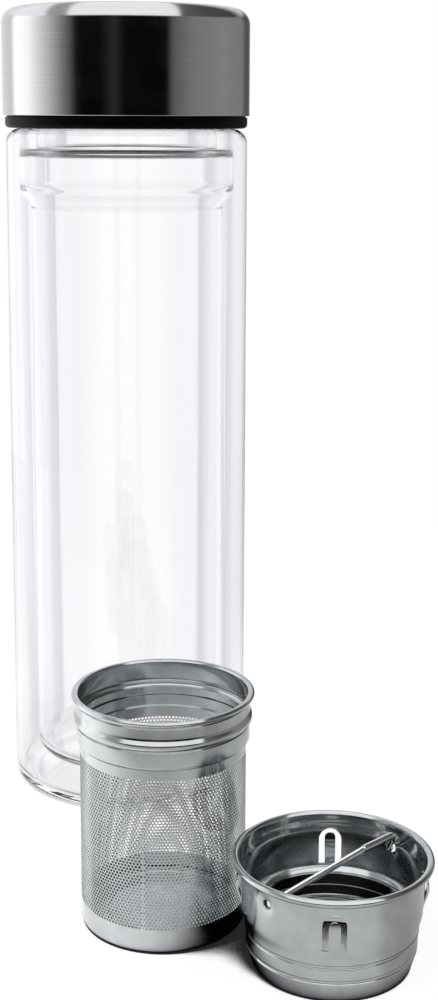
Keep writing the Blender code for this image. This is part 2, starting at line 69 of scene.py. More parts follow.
# Flask glass
GLASS_RADIUS = GLASS_HIGH[0]
GLASS_WALL = 0.0020
GLASS_FLOOR = 0.0030
BASE_ROUND = 0.0035
BASE_PUNT = 0.0004
BASE_FOOT_WIDTH = 0.0060
SHOULDER_HEIGHT = 0.1849
SHOULDER_ROUND = 0.0040
SHOULDER_WIDTH = 0.0080
SHOULDER_WALL = 0.0008
NECK_WALL = 0.0030
NECK_RADIUS = GLASS_RADIUS - SHOULDER_WIDTH
NECK_BORE_RADIUS = NECK_RADIUS - NECK_WALL
NECK_LIP_ROUND = 0.0012
NECK_FOOT_ROUND = 0.0008
VESSEL_WALL = 0.0018
VESSEL_RADIUS = 0.0264
VESSEL_TOP_RADIUS = VESSEL_HIGH[0]
VESSEL_THROAT_WALL = 0.0026
VESSEL_ROUND = 0.0035
VESSEL_STEP_FOOT = 0.1640
VESSEL_STEP_TOP = 0.1684
VESSEL_STEP_ROUND = 0.0025
VESSEL_THROAT_ROUND = 0.0005
VESSEL_SHOULDER_HEIGHT = 0.1796
VESSEL_SHOULDER_ROUND = 0.0012
VESSEL_SEAM = 0.0001

# Lid
LID_RADIUS = SHELL_HIGH[0]
LID_WALL = 0.0008
LID_CORNER_ROUND = 0.0042
LID_HEM_ROUND = 0.0002
BAND_RADIUS = LINER_HIGH[0]
BAND_HEIGHT = 0.0028
BAND_ROUND = 0.0012
BAND_LIP = 0.0002
SEAT_GAP = 0.0003
THREAD_SPACE = 0.0015
LINER_BORE_RADIUS = NECK_RADIUS + THREAD_SPACE
LINER_WALL = 0.0020
LINER_SKIRT_HEIGHT = 0.0120
LINER_SKIRT_WALL = 0.0015
LINER_DISC = 0.0018
GASKET_LAP = 0.0005

# Screw thread
THREAD_LEAD = 0.0040
THREAD_DEPTH = 0.0011
THREAD_FOOT = 0.0022
THREAD_CREST = 0.0008
THREAD_ROOT = 0.0003
THREAD_START = 0.1925
THREAD_TURNS = 1.6
THREAD_RUN_OUT = math.radians(30)

# Pressed sheet
SHEET = 0.0005
TUBE_SHEET = 0.00025
CREASE_WIDTH = 0.00022
CREASE_DEPTH = 0.00030

# Basket
BASKET_RADIUS = 0.0195
BASKET_CORNER_ROUND = 0.0015
BASKET_FLANGE_WIDTH = 0.0030
BASKET_ROLL_RADIUS = 0.0008
BASKET_ROLL_HEIGHT = 0.00062
SLEEVE_RIM_CREASE = 0.0545
SLEEVE_BEAD_FOOT = 0.0010
SLEEVE_CREASE_WIDTH = 0.0005
SLEEVE_CREASE_DEPTH = 0.0004
TUBE_CREASE = 0.0446
TUBE_CREASE_WIDTH = 0.0005
TUBE_CREASE_DEPTH = 0.0006
SLEEVE_BEAD_DROP = 0.0061
SLEEVE_BEAD_HEIGHT = 0.0030
SLEEVE_BEAD_BULGE = 0.0006
FLOOR_RISE = 0.0008
FLOOR_MARGIN = 0.0040
FLOOR_THICKNESS = 0.0006

# Perforation
HOLES_AROUND = 143
HOLE_ROWS = 49
HOLE_RADIUS = 0.00037
HOLE_SIDES = 6
HOLE_BAND_START = 0.0060
HOLE_BAND_END = 0.0420
SEAM_AZIMUTH = math.radians(-104.6)
SEAM_HOLE_SHARE = 0.55

# Collar
COLLAR_TURN = math.radians(-5.5)
COLLAR_ROLL_RADIUS = 0.0009
COLLAR_ROLL_HEIGHT = 0.00075
COLLAR_RIM_CREASE = 0.02345
COLLAR_MOUTH_RADIUS = 0.0215
COLLAR_RADIUS = 0.0209
COLLAR_FLARE_HEIGHT = 0.0018
COLLAR_FLARE_FOOT = BODY_HIGH[2] - 2 * COLLAR_ROLL_RADIUS - COLLAR_FLARE_HEIGHT
COLLAR_TAPER = 0.0005
COLLAR_FLARE_ROUND = 0.0080
COLLAR_CURVE_START = 0.0127
COLLAR_CURVE_ROUND = 0.0050
COLLAR_WAIST_RADIUS = 0.0197
COLLAR_WAIST_LENGTH = 0.0014
COLLAR_HEM_CREASE = 0.00925
COLLAR_HEM_LAP = 0.0002
COLLAR_LEDGE_TOP = (0.0198, 0.0124)
COLLAR_LEDGE_FOOT = (0.0190, 0.0115)
COLLAR_WALL_STEP = 0.0007
PLUG_SHOULDER_HEIGHT = 0.0086
PLUG_BEAD_RADIUS = 0.01945
PLUG_GROOVE_RADIUS = 0.0190
PLUG_BEAD_HEIGHT = 0.0030
PLUG_GROOVE_HEIGHT = 0.0010
PLUG_FOOT_RADIUS = 0.0180
PLUG_MOUTH_RADIUS = 0.0155

# Spring tongues
TONGUE_COUNT = 4
SLOT_OUTER_WIDTH = 0.0053
SLOT_WIDTH = 0.0014
SLOT_FOOT_HEIGHT = 0.0130
SLOT_HEIGHT = 0.0086
TONGUE_BULGE = 0.0011
TONGUE_SWING = 0.7
TONGUE_TIP_PARTS = 10
TONGUE_ROOT_INSET = 0.00005
TONGUE_STATIONS = 20
TONGUE_COLUMNS = 6

# Bail
WIRE_RADIUS = 0.00072
WIRE_THICK_RADIUS = 0.00092
WIRE_SIDES = 20
PIVOT_HEIGHT = 0.0203
PIVOT_CLEARANCE = 0.00045
PIVOT_TURN = math.radians(45)
PIVOT_DIMPLE_RADIUS = 0.0024
PIVOT_DIMPLE_DEPTH = 0.0005
BAIL_LEAN = math.radians(22)
BAIL_RISE = 0.0044
BAIL_KNEE_RISE = 0.0041
BAIL_KNEE_REACH = 0.0085
BAIL_WALL_SPACE = 0.0017
BAIL_TIP_REACH = -0.0009
BAIL_BEND = 0.0012
BAIL_FOOT_BEND = 0.0012
BAIL_STEP = 0.0005

# Camera, fitted to the photograph
CAMERA_PLACE = (0.0034, -0.4349, 0.1884)
CAMERA_YAW = math.radians(3.02)
CAMERA_PITCH = math.radians(9.83)
CAMERA_ROLL = math.radians(0.26)
CAMERA_SENSOR = 36.0
CAMERA_LENS = 56.33
CAMERA_SHIFT = (-0.0027, -0.113)

# Table
TABLE_RADIUS = 0.45
TABLE_SIDES = 96
SEEN_LIT_SHARE = 0.20
SEEN_GLOW = 0.86
MIRRORED_LIT_SHARE = 0.6
TONE_CENTRE = (0.027, -0.097)
TONE_FADE = (0.07, 0.25)

# Contact shade: share of the sky that is open above a place, tone of the table there
SHADE_REACH = 0.06
SHADE_SAMPLES = 48
SEEN_SHADE = ((0.365, 0.02), (0.395, 1.0))
MIRRORED_SHADE = ((0.39, 0.0), (0.62, 1.0))

# Lights: name, size, distance, azimuth from the camera's side towards +X, elevation, power
ROOM_LIGHT = 0.45
LAMPS = (
    ("key", 0.7, 0.9, math.radians(-62), math.radians(40), 4.4),
    ("fill", 0.7, 0.9, math.radians(70), math.radians(40), 2.5),
)

# Studio cards at eye level: azimuth in degrees from the camera's side towards +X, brightness
CARDS = (
    (-180, 0.95), (-130, 0.90), (-122, 1.75), (-100, 1.55), (-85, 1.02), (-60, 0.28), (-46, 0.00),
    (-22, 0.00), (-10, 0.03), (-2, 0.00), (38, 0.00), (43, 0.14), (62, 0.27), (100, 0.34),
    (134, 0.28), (146, 0.10), (160, 0.12), (180, 0.95),
)
CARD_TOP = 0.24
CEILING_START = 0.34

# Ceiling by the side of a round body that mirrors it, in degrees from its front, brightness
CEILING = (
    (-90, 1.25), (-62, 1.35), (-40, 1.25), (-37, 0.50), (-28, 0.45), (-26, 1.32), (24, 1.32),
    (26, 0.16), (40, 0.10), (57, 0.08), (90, 0.05),
)
CEILING_BACK = 0.9
CEILING_BACK_START = 0.60
CEILING_BACK_END = 0.90

# Painted reflection: glow of the table top that metal mirrors, by azimuth as above
PAINTED_TABLE_TONES = (
    (-180, 1.20), (-120, 1.45), (-70, 1.25), (-40, 0.88), (-10, 0.78), (25, 0.78), (44, 0.72),
    (52, 0.52), (70, 0.46), (82, 0.56), (95, 0.66), (120, 0.70), (150, 0.90), (180, 1.20),
)

# Backdrop through glass: bend of the ray in degrees, colour
BACKDROP = (
    (0, (1.05, 1.05, 1.05)), (8.5, (1.03, 1.03, 1.04)), (9.5, (0.95, 0.95, 0.98)),
    (10.2, (0.70, 0.705, 0.75)), (12.5, (0.76, 0.76, 0.81)), (14, (0.84, 0.84, 0.88)),
    (18, (1.02, 1.02, 1.04)), (33, (1.02, 1.02, 1.04)), (48, (0.86, 0.87, 0.90)),
    (65, (0.66, 0.67, 0.70)), (78, (0.76, 0.76, 0.79)), (90, (0.94, 0.94, 0.96)),
)
BACKDROP_AHEAD = math.radians(-0.45)

# Backdrop through glass: lean of the ray from straight down to straight up, brightness
BACKDROP_DEPTH = (
    (-1.0, 0.35), (-0.9, 0.45), (-0.75, 0.78), (-0.42, 0.82), (-0.36, 1.0), (0.5, 1.0), (1.0, 0.8),
)

# Finishes: noise cells in a metre, tones and roughness at a noise's two ends, bumps by strength and depth
NOISE_SPAN = (0.3, 0.7)
GRAIN_DETAIL = 2.0
CLOUD_DETAIL = 3.0
GLASS_IOR = 1.47
GLASS_STREAKS = (260.0, 260.0, 5.0)
GLASS_STREAK_START = (0.006, 0.020)
GLASS_TONES = ((0.985, 0.985, 0.995), (1.0, 1.0, 1.0))
GLASS_BUMP = (0.25, 0.0001)
BRUSH_LINES = (45.0, 5200.0)
BRUSH_DETAIL = 6.0
BRUSH_SHARPNESS = 0.65
BRUSH_SPAN = (0.25, 0.75)
BRUSH_CLOUDS = 90.0
BRUSH_TONES = ((0.52, 0.53, 0.54), (0.64, 0.65, 0.66))
BRUSH_ROUGHNESS = (0.10, 0.15)
BRUSH_BUMP = (0.12, 0.00002)
SHEET_CLOUDS = 230.0
SHEET_CLOUD_DETAIL = 4.0
SHEET_GRAIN = 3800.0
SHEET_MARKS = (1500.0, 1500.0, 45.0)
SHEET_TONES = ((0.50, 0.52, 0.53), (0.58, 0.60, 0.61))
SHEET_ROUGHNESS = (0.16, 0.11)
SHEET_BUMP = (0.10, 0.00002)
WIRE_MARKS = 900.0
WIRE_TONES = ((0.76, 0.78, 0.79), (0.86, 0.88, 0.89))
WIRE_ROUGHNESS = 0.09
WIRE_BUMP = (0.08, 0.00002)
PLASTIC_GRAIN = 5200.0
PLASTIC_CLOUDS = 160.0
PLASTIC_TONES = ((0.0008, 0.0008, 0.001), (0.002, 0.002, 0.0022))
PLASTIC_ROUGHNESS = (0.30, 0.40)
PLASTIC_SHINE = 0.05
PLASTIC_BUMP = (0.08, 0.00003)
SILICONE_CLOUDS = 400.0
SILICONE_TONES = ((0.74, 0.76, 0.76), (0.82, 0.84, 0.84))
SILICONE_ROUGHNESS = 0.5
SILICONE_SCATTER_SHARE = 0.3
SILICONE_SCATTER_DEPTH = (0.002, 0.002, 0.002)
SILICONE_BUMP = (0.05, 0.00005)

# Paths through the glass
GLASS_BOUNCES = 32
METAL_BOUNCES = 12


def arc(centre, radius, start, end, step=ARC_STEP):
    """Points on an arc in the profile plane, from angle start to angle end."""
    count = max(1, math.ceil(abs(end - start) / step - STEP_TOLERANCE))
    angles = [start + (end - start) * k / count for k in range(count + 1)]
    return [Vector((centre[0] + radius * math.cos(a), centre[1] + radius * math.sin(a))) for a in angles]


def rounded(corners, step=ARC_STEP):
    """Path through corners (r, z, fillet), each fillet an arc within its two sides."""
    path = []
    for index, (r, z, fillet) in enumerate(corners):
        here = Vector((r, z))
        if fillet <= 0.0:
            path.append(here)
            continue
        back = Vector(corners[index - 1][:2]) - here
        ahead = Vector(corners[(index + 1) % len(corners)][:2]) - here
        half = back.angle(ahead) / 2
        shortest = min(back.length, ahead.length)
        fillet = min(fillet, FILLET_SHARE * shortest * math.tan(half))
        reach = fillet / math.tan(half)
        centre = here + (back.normalized() + ahead.normalized()).normalized() * (fillet / math.sin(half))
        first = here + back.normalized() * reach - centre
        last = here + ahead.normalized() * reach - centre
        start = math.atan2(first.y, first.x)
        turn = math.remainder(math.atan2(last.y, last.x) - start, math.tau)
        path += arc(centre, fillet, start, start + turn, step)
    return path


def evenly(path, step):
    """Points about a step apart along a path."""
    points = [path[0]]
    for first, second in zip(path, path[1:]):
        count = max(1, round((second - first).length / step))
        points += [first.lerp(second, k / count) for k in range(1, count + 1)]
    return points


def offset(path, distance):
    """The path moved sideways by a distance, to the right of its direction."""
    moved = []
    for index, point in enumerate(path):
        before = (point - path[index - 1]).normalized() if index else None
        after = (path[index + 1] - point).normalized() if index < len(path) - 1 else None
        before = before or after
        after = after or before
        along = (before + after).normalized()
        side = Vector((along.y, -along.x))
        moved.append(point + side * (distance / max(MITRE_LIMIT, along.dot(after))))
    return moved


def creased(path, levels, width=CREASE_WIDTH, depth=CREASE_DEPTH):
    """A downward path with a narrow slot cut into it at each level."""
    half = width / 2
    for level in levels:
        spans = zip(path, path[1:])
        index = next(k for k, (a, b) in enumerate(spans) if a.y > level + half and b.y < level - half)
        start = path[index]
        end = path[index + 1]
        radius = start.lerp(end, (start.y - level) / (start.y - end.y)).x
        slot = [(radius, level + half), (radius - depth, level + half)]
        slot += [(radius - depth, level - half), (radius, level - half)]
        path = path[:index + 1] + [Vector(corner) for corner in slot] + path[index + 1:]
    return path


def middle_of(low, high):
    """Where a node's own axis meets the floor."""
    return Vector(((low[0] + high[0]) / 2, (low[1] + high[1]) / 2, 0.0))


BASKET_PLACE = middle_of(SLEEVE_LOW, SLEEVE_HIGH)
COLLAR_PLACE = middle_of(PLUG_LOW, PLUG_HIGH)


def lathe(loop, sides=SIDES):
    """Vertices and faces of a closed (r, z) loop turned about Z."""
    verts = []
    rings = []
    for point in loop:
        if point.x < ON_AXIS:
            rings.append([len(verts)] * sides)
            verts.append((0.0, 0.0, point.y))
            continue
        rings.append(range(len(verts), len(verts) + sides))
        for k in range(sides):
            angle = math.tau * k / sides
            verts.append((point.x * math.cos(angle), point.x * math.sin(angle), point.y))
    faces = []
    for first, second in zip(rings, rings[1:] + rings[:1]):
        for k in range(sides):
            after = (k + 1) % sides
            corners = list(dict.fromkeys((first[k], first[after], second[after], second[k])))
            if len(corners) > 2:
                faces.append(corners)
    return verts, faces


def tube_faces(rings, capped):
    """Faces between rings of vertex numbers, with end caps if asked."""
    faces = []
    for first, second in zip(rings, rings[1:]):
        for k in range(len(first)):
            after = (k + 1) % len(first)
            faces.append((first[k], first[after], second[after], second[k]))
    if capped:
        faces.append(tuple(rings[0]))
        faces.append(tuple(rings[-1]))
    return faces


def piece(name, shape, material, place=(0.0, 0.0, 0.0), turn=0.0):
    """A smooth-shaded object of vertices and faces, its normals outwards and its corners sharp."""
    verts, faces = shape
    mesh = bpy.data.meshes.new(name)
    mesh.from_pydata(verts, [], faces)
    bm = bmesh.new()
    bm.from_mesh(mesh)
    bmesh.ops.recalc_face_normals(bm, faces=bm.faces)
    bm.to_mesh(mesh)
    bm.free()
    mesh.transform(Matrix.Rotation(turn, 4, "Z"))
    mesh.materials.append(material)
    mesh.shade_smooth()
    mesh.set_sharp_from_angle(angle=SHARP_ANGLE)
    item = bpy.data.objects.new(name, mesh)
    item.location = place
    bpy.context.scene.collection.objects.link(item)
    return item


def fit(item, body, slot, *nodes):
    """Put a piece on its body and hide the CAD nodes that it stands for; the finish (slot) is not used.
    """
    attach(item, body)
    if nodes:
        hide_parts(*nodes)
    return item


def bake_booleans(item, cuts, joins):
    """Cut and join helper objects into a piece's own mesh, then remove the helpers."""
    for operation, helpers in (("DIFFERENCE", cuts), ("UNION", joins)):
        for helper in helpers:
            change = item.modifiers.new(operation.lower(), "BOOLEAN")
            change.operation = operation
            change.object = helper
            change.solver = "EXACT"
    depsgraph = bpy.context.evaluated_depsgraph_get()
    mesh = bpy.data.meshes.new_from_object(item.evaluated_get(depsgraph))
    mesh.name = item.name
    item.modifiers.clear()
    item.data = mesh
    mesh.shade_smooth()
    mesh.set_sharp_from_angle(angle=SHARP_ANGLE)
    for helper in [*cuts, *joins]:
        bpy.data.objects.remove(helper, do_unlink=True)


def add(tree, kind, inputs=None, **settings):
    """A shader node with its settings made and its inputs set or linked."""
    item = tree.nodes.new("ShaderNode" + kind)
    for key, value in settings.items():
        setattr(item, key, value)
    for key, value in (inputs or {}).items():
        if isinstance(value, bpy.types.NodeSocket):
            tree.links.new(value, item.inputs[key])
        else:
            item.inputs[key].default_value = value
    return item


def calc(tree, operation, first, second):
    """Result of a math node."""
    return add(tree, "Math", {0: first, 1: second}, operation=operation).outputs[0]


def times(tree, first, second):
    """Two vectors or colours multiplied."""
    return add(tree, "VectorMath", {0: first, 1: second}, operation="MULTIPLY").outputs[0]


def scaled_colour(tree, colour, factor):
    """A colour times a factor."""
    return add(tree, "VectorMath", {0: colour, "Scale": factor}, operation="SCALE").outputs[0]


def length_of(tree, x, y):
    """Length of a flat vector."""
    flat = add(tree, "CombineXYZ", {0: x, 1: y}).outputs[0]
    return add(tree, "VectorMath", {0: flat}, operation="LENGTH").outputs["Value"]


def share_between(tree, value, low, high):
    """How far a value is on its way from low to high, kept between 0 and 1."""
    return add(tree, "MapRange", {"Value": value, "From Min": low, "From Max": high}).outputs[0]


def mixed(tree, share, first, second):
    """A mix of two colours."""
    return add(tree, "MixRGB", {0: share, 1: first, 2: second}).outputs[0]


def mixed_shader(tree, share, first, second):
    """A mix of two shaders."""
    return add(tree, "MixShader", {0: share, 1: first, 2: second}).outputs[0]


def opaque(tone):
    """A shader colour from a grey or from red, green and blue."""
    return (tone, tone, tone, 1.0) if isinstance(tone, (int, float)) else (*tone, 1.0)


def ramp(tree, factor, stops):
    """A colour ramp from (position, colour or grey) stops."""
    item = add(tree, "ValToRGB", {"Fac": factor})
    elements = item.color_ramp.elements
    while len(elements) < len(stops):
        elements.new(0.5)
    for element, (position, tone) in zip(elements, stops):
        element.position = position
    for element, (position, tone) in zip(elements, stops):
        element.color = opaque(tone)
    return item.outputs["Color"]


def spread(tree, factor, ends, span=NOISE_SPAN):
    """A ramp from one tone to another over a span of a noise."""
    return ramp(tree, factor, tuple(zip(span, ends)))


def noise(tree, vector, detail=CLOUD_DETAIL, roughness=0.5):
    """A noise of one cell for each unit of its vector."""
    inputs = {"Vector": vector, "Scale": 1.0, "Detail": detail, "Roughness": roughness}
    return add(tree, "TexNoise", inputs).outputs["Fac"]


def object_coords(tree):
    """Coordinates from the object's own origin, in metres."""
    return add(tree, "TexCoord").outputs["Object"]


def parts_of(tree, vector):
    """The three parts of a vector."""
    return add(tree, "SeparateXYZ", {0: vector}).outputs


def stretched_coords(tree, scale):
    """Object coordinates times one scale, or one for each axis."""
    scales = scale if isinstance(scale, tuple) else (scale, scale, scale)
    return times(tree, object_coords(tree), scales)


def ring_coords(tree, along, across):
    """Coordinates slow along a ring round Z and quick from one ring to the next."""
    x, y, z = parts_of(tree, object_coords(tree))
    level = calc(tree, "SUBTRACT", z, length_of(tree, x, y))
    across_part = calc(tree, "MULTIPLY", level, across)
    x = calc(tree, "MULTIPLY", x, along)
    y = calc(tree, "MULTIPLY", y, along)
    return add(tree, "CombineXYZ", {0: x, 1: y, 2: across_part}).outputs[0]


def new_material(name, values):
    """A material with its node tree and its shader, whose constant values are set."""
    material = bpy.data.materials.new(name)
    material.use_nodes = True
    tree = material.node_tree
    shader = tree.nodes["Principled BSDF"]
    for key, value in values.items():
        shader.inputs[key].default_value = value
    return material, tree, shader


def bump(tree, shader, height, strength, distance):
    """Tilt a shader's normal by a height."""
    item = add(tree, "Bump", {"Height": height, "Strength": strength, "Distance": distance})
    tree.links.new(item.outputs["Normal"], shader.inputs["Normal"])


def glass_material():
    """Clear drawn glass: faint lavender, with slow streaks along the tube."""
    values = {"Roughness": 0.0, "IOR": GLASS_IOR, "Transmission Weight": 1.0}
    material, tree, shader = new_material("glass_look", values)
    streak = noise(tree, stretched_coords(tree, GLASS_STREAKS), GRAIN_DETAIL)
    tree.links.new(spread(tree, streak, GLASS_TONES), shader.inputs["Base Color"])
    height = parts_of(tree, object_coords(tree))[2]
    drawn = share_between(tree, height, *GLASS_STREAK_START)
    bump(tree, shader, calc(tree, "MULTIPLY", streak, drawn), *GLASS_BUMP)
    return material


def brushed_material():
    """Satin steel with brush lines round the lid."""
    material, tree, shader = new_material("brushed_steel_look", {"Metallic": 1.0})
    lines = noise(tree, ring_coords(tree, *BRUSH_LINES), BRUSH_DETAIL, BRUSH_SHARPNESS)
    cloud = noise(tree, stretched_coords(tree, BRUSH_CLOUDS))
    tree.links.new(spread(tree, lines, BRUSH_TONES, BRUSH_SPAN), shader.inputs["Base Color"])
    tree.links.new(spread(tree, cloud, BRUSH_ROUGHNESS), shader.inputs["Roughness"])
    bump(tree, shader, lines, *BRUSH_BUMP)
    return material


def pressed_material():
    """Bright pressed steel: a fine grain, soft clouds and slight drawing marks."""
    material, tree, shader = new_material("pressed_steel_look", {"Metallic": 1.0})
    cloud = noise(tree, stretched_coords(tree, SHEET_CLOUDS), SHEET_CLOUD_DETAIL)
    grain = noise(tree, stretched_coords(tree, SHEET_GRAIN), GRAIN_DETAIL)
    marks = noise(tree, stretched_coords(tree, SHEET_MARKS), GRAIN_DETAIL)
    tree.links.new(spread(tree, cloud, SHEET_TONES), shader.inputs["Base Color"])
    tree.links.new(spread(tree, cloud, SHEET_ROUGHNESS), shader.inputs["Roughness"])
    bump(tree, shader, calc(tree, "ADD", grain, marks), *SHEET_BUMP)
    return material


def wire_material():
    """Polished wire: brighter than the sheet, with faint drawing marks."""
    values = {"Roughness": WIRE_ROUGHNESS, "Metallic": 1.0}
    material, tree, shader = new_material("polished_wire_look", values)
    marks = noise(tree, stretched_coords(tree, WIRE_MARKS), GRAIN_DETAIL)
    tree.links.new(spread(tree, marks, WIRE_TONES), shader.inputs["Base Color"])
    bump(tree, shader, marks, *WIRE_BUMP)
    return material


def plastic_material():
    """Near-black moulded plastic with a fine grain."""
    material, tree, shader = new_material("black_plastic_look", {"Specular IOR Level": PLASTIC_SHINE})
    grain = noise(tree, stretched_coords(tree, PLASTIC_GRAIN), GRAIN_DETAIL)
    cloud = noise(tree, stretched_coords(tree, PLASTIC_CLOUDS))
    tree.links.new(spread(tree, cloud, PLASTIC_TONES), shader.inputs["Base Color"])
    tree.links.new(spread(tree, grain, PLASTIC_ROUGHNESS), shader.inputs["Roughness"])
    bump(tree, shader, grain, *PLASTIC_BUMP)
    return material


def silicone_material():
    """Milky silicone with a dull skin."""
    values = {
        "Roughness": SILICONE_ROUGHNESS,
        "Subsurface Weight": SILICONE_SCATTER_SHARE,
        "Subsurface Radius": SILICONE_SCATTER_DEPTH,
    }
    material, tree, shader = new_material("silicone_look", values)
    cloud = noise(tree, stretched_coords(tree, SILICONE_CLOUDS))
    tree.links.new(spread(tree, cloud, SILICONE_TONES), shader.inputs["Base Color"])
    bump(tree, shader, cloud, *SILICONE_BUMP)
    return material


def make_outer_glass(glass):
    """The outer wall, its slightly hollow base, round shoulder and neck."""
    under_shoulder = SHOULDER_HEIGHT - SHOULDER_WALL
    neck_top = GLASS_HIGH[2]
    inside = GLASS_RADIUS - GLASS_WALL
    foot = GLASS_RADIUS - BASE_FOOT_WIDTH
    loop = rounded([
        (0.0, BASE_PUNT, 0.0),
        (foot - BASE_FOOT_WIDTH, BASE_PUNT, BASE_FOOT_WIDTH),
        (foot, 0.0, BASE_PUNT),
        (GLASS_RADIUS, 0.0, BASE_ROUND),
        (GLASS_RADIUS, SHOULDER_HEIGHT, SHOULDER_ROUND),
        (NECK_RADIUS, SHOULDER_HEIGHT, NECK_FOOT_ROUND),
        (NECK_RADIUS, neck_top, NECK_LIP_ROUND),
        (NECK_BORE_RADIUS, neck_top, NECK_LIP_ROUND),
        (NECK_BORE_RADIUS, under_shoulder, 0.0),
        (inside, under_shoulder, SHOULDER_ROUND - SHOULDER_WALL),
        (inside, GLASS_FLOOR, BASE_ROUND - GLASS_WALL / 2),
        (0.0, GLASS_FLOOR, 0.0),
    ])
    item = piece("outer_glass_look", lathe(loop), glass)
    item.visible_shadow = False
    return fit(item, "flask", "clear_glass", "outer_glass")


def make_inner_glass(glass):
    """The inner vessel, wider at the top and hung from the neck."""
    top = SHOULDER_HEIGHT - SHOULDER_WALL - VESSEL_SEAM
    shoulder = VESSEL_SHOULDER_HEIGHT
    throat = NECK_BORE_RADIUS + VESSEL_THROAT_WALL
    floor = VESSEL_LOW[2] + VESSEL_WALL
    inner_round = VESSEL_ROUND - VESSEL_WALL / 2
    loop = rounded([
        (0.0, VESSEL_LOW[2], 0.0),
        (VESSEL_RADIUS, VESSEL_LOW[2], VESSEL_ROUND),
        (VESSEL_RADIUS, VESSEL_STEP_FOOT, VESSEL_STEP_ROUND),
        (VESSEL_TOP_RADIUS, VESSEL_STEP_TOP, VESSEL_STEP_ROUND),
        (VESSEL_TOP_RADIUS, shoulder, VESSEL_SHOULDER_ROUND),
        (throat, shoulder, VESSEL_THROAT_ROUND),
        (throat, top, 0.0),
        (NECK_BORE_RADIUS, top, 0.0),
        (NECK_BORE_RADIUS, shoulder - VESSEL_WALL, VESSEL_THROAT_ROUND),
        (VESSEL_TOP_RADIUS - VESSEL_WALL, shoulder - VESSEL_WALL, VESSEL_SHOULDER_ROUND / 2),
        (VESSEL_TOP_RADIUS - VESSEL_WALL, VESSEL_STEP_TOP + VESSEL_WALL / 2, VESSEL_STEP_ROUND),
        (VESSEL_RADIUS - VESSEL_WALL, VESSEL_STEP_FOOT + VESSEL_WALL / 2, VESSEL_STEP_ROUND),
        (VESSEL_RADIUS - VESSEL_WALL, floor, inner_round),
        (0.0, floor, 0.0),
    ])
    item = piece("inner_glass_look", lathe(loop), glass)
    item.visible_shadow = False
    return fit(item, "flask", "clear_glass", "inner_glass")


def thread_ridge(wall_radius, outward, start):
    """A helical ridge with a sloped section, fading into its wall at both ends."""
    run = THREAD_TURNS * math.tau
    steps = int(THREAD_TURNS * SIDES / 2)
    verts = []
    rings = []
    for k in range(steps + 1):
        angle = run * k / steps
        fade = min(1.0, angle / THREAD_RUN_OUT, (run - angle) / THREAD_RUN_OUT)
        middle = start + THREAD_LEAD * angle / math.tau
        crest = wall_radius + outward * THREAD_DEPTH * math.sin(fade * math.pi / 2)
        root = wall_radius - outward * THREAD_ROOT
        section = (
            (root, -THREAD_FOOT / 2), (wall_radius, -THREAD_FOOT / 2), (crest, -THREAD_CREST / 2),
            (crest, THREAD_CREST / 2), (wall_radius, THREAD_FOOT / 2), (root, THREAD_FOOT / 2),
        )
        rings.append(list(range(len(verts), len(verts) + len(section))))
        for r, rise in section:
            verts.append((r * math.cos(angle), r * math.sin(angle), middle + rise))
    return verts, tube_faces(rings, capped=True)


def make_neck_thread(glass):
    """The thread moulded on the neck."""
    shape = thread_ridge(NECK_RADIUS, 1.0, THREAD_START)
    item = piece("neck_thread", shape, glass)
    item.visible_shadow = False
    return fit(item, "flask", "clear_glass")


def make_lid_thread(plastic):
    """The thread inside the liner, half a lead below the neck's."""
    shape = thread_ridge(LINER_BORE_RADIUS, -1.0, THREAD_START - THREAD_LEAD / 2)
    return fit(piece("liner_thread", shape, plastic), "lid", "black_plastic")


def make_lid_shell(brushed):
    """The steel cap: a round at its top edge and a small one at its lower edge."""
    top = SHELL_HIGH[2]
    bottom = SHELL_LOW[2]
    bore = LID_RADIUS - LID_WALL
    loop = rounded([
        (0.0, top, 0.0),
        (LID_RADIUS, top, LID_CORNER_ROUND),
        (LID_RADIUS, bottom, LID_HEM_ROUND),
        (bore, bottom, LID_HEM_ROUND),
        (bore, top - LID_WALL, LID_CORNER_ROUND - LID_WALL),
        (0.0, top - LID_WALL, 0.0),
    ], ARC_STEP / 2)
    return fit(piece("lid_shell_look", lathe(loop), brushed), "lid", "brushed_steel", "lid_shell")


def make_lid_liner(plastic):
    """The plastic liner: band, skirt, thread sleeve and disc."""
    band_bottom = LINER_LOW[2] - BAND_LIP
    band_top = LINER_LOW[2] + BAND_HEIGHT
    bore = LINER_BORE_RADIUS
    sleeve = bore + LINER_WALL
    skirt = LID_RADIUS - LID_WALL - SEAT_GAP
    skirt_top = band_top + LINER_SKIRT_HEIGHT
    top = LINER_HIGH[2]
    loop = rounded([
        (bore, band_bottom, SEAT_GAP),
        (BAND_RADIUS, band_bottom, BAND_ROUND),
        (BAND_RADIUS, band_top, SEAT_GAP),
        (skirt, band_top, 0.0),
        (skirt, skirt_top, SEAT_GAP),
        (skirt - LINER_SKIRT_WALL, skirt_top, SEAT_GAP),
        (skirt - LINER_SKIRT_WALL, band_top, 0.0),
        (sleeve, band_top, 0.0),
        (sleeve, top, SEAT_GAP),
        (0.0, top, 0.0),
        (0.0, top - LINER_DISC, 0.0),
        (bore, top - LINER_DISC, 0.0),
    ])
    return fit(piece("lid_liner_look", lathe(loop), plastic), "lid", "black_plastic", "lid_liner")


